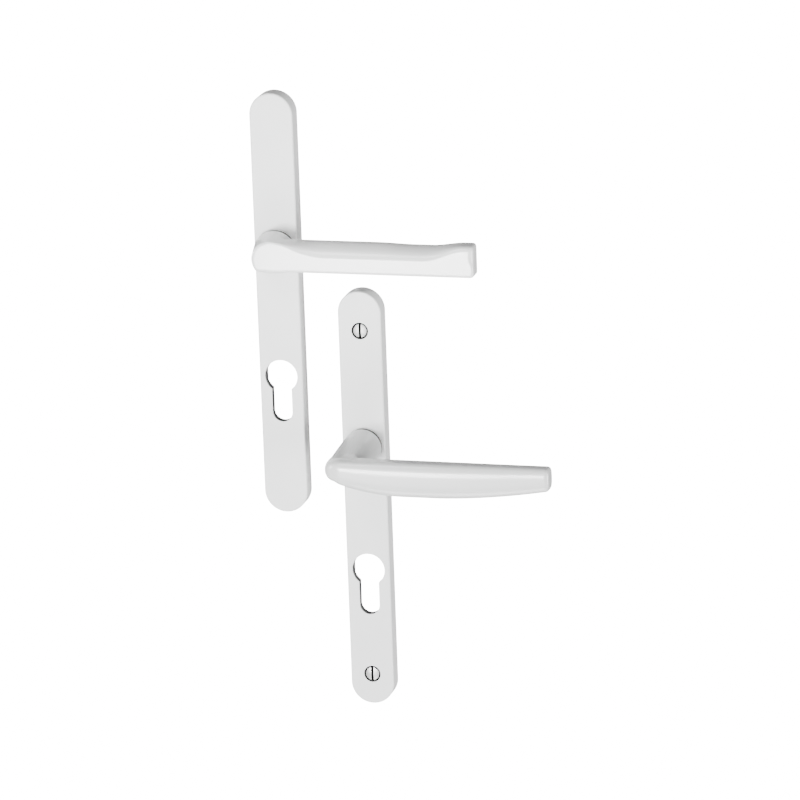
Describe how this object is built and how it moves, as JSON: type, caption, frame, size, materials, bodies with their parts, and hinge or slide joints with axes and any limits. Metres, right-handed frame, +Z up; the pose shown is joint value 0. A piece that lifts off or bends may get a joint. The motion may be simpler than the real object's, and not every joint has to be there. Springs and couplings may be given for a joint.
{
  "type": "door lever handle set on backplates",
  "caption": "White lever handles on long narrow backplates with euro profile cylinder cut-outs: a flat outside lever and a cranked inside lever, both sprung.",
  "frame": {"origin": "where the outside half's spindle axis meets the door face, that is, the plane of the backs of both backplates", "axes": "+X to the right along the levers at rest, +Y into the door, away from the fronts, +Z up along the backplates"},
  "size_m": [0.17, 0.085, 0.342],
  "materials": {
    "white_powder_coat": "satin",
    "white_powder_coat_lever": "satin",
    "zinc_plated_steel": "satin",
    "screw_steel": "satin",
    "spindle_steel": "satin",
    "spring_steel": "satin",
    "black_steel": "satin",
    "dark_nylon": "matte",
    "pale_nylon": "matte"
  },
  "bodies": {
    "backplates": {"outside_cover_plate": "white_powder_coat", "outside_upper_mounting_plate": "zinc_plated_steel", "outside_lower_mounting_plate": "zinc_plated_steel", "outside_threaded_posts": "zinc_plated_steel", "outside_guide_bush": "dark_nylon", "outside_return_spring": "spring_steel", "inside_cover_plate": "white_powder_coat", "inside_upper_mounting_plate": "zinc_plated_steel", "inside_lower_mounting_plate": "zinc_plated_steel", "inside_fixing_screws": "screw_steel", "inside_guide_bush": "dark_nylon", "inside_return_spring": "spring_steel"},
    "outside_handle": {"outside_lever": "white_powder_coat_lever", "outside_driver": "zinc_plated_steel", "outside_thrust_washer": "pale_nylon", "outside_retaining_ring": "spring_steel", "outside_grub_screw": "black_steel", "outside_spindle": "spindle_steel"},
    "inside_handle": {"inside_lever": "white_powder_coat_lever", "inside_driver": "zinc_plated_steel", "inside_thrust_washer": "pale_nylon", "inside_retaining_ring": "spring_steel", "inside_grub_screw": "black_steel", "inside_spindle_sleeve": "spindle_steel"}
  },
  "joints": [
    {"name": "outside_lever_turn", "type": "hinge", "parent": "backplates", "child": "outside_handle", "pos_m": [0, 0, 0], "axis": [0, 1, 0], "range_deg": [0, 40], "stiffness_Nm_per_rad": 0.8, "springref_deg": -28.65, "deforming": ["outside_return_spring"]},
    {"name": "inside_lever_turn", "type": "hinge", "parent": "backplates", "child": "inside_handle", "pos_m": [0.045, 0, -0.108], "axis": [0, 1, 0], "range_deg": [0, 40], "stiffness_Nm_per_rad": 0.8, "springref_deg": -28.65, "deforming": ["inside_return_spring"]}
  ]
}
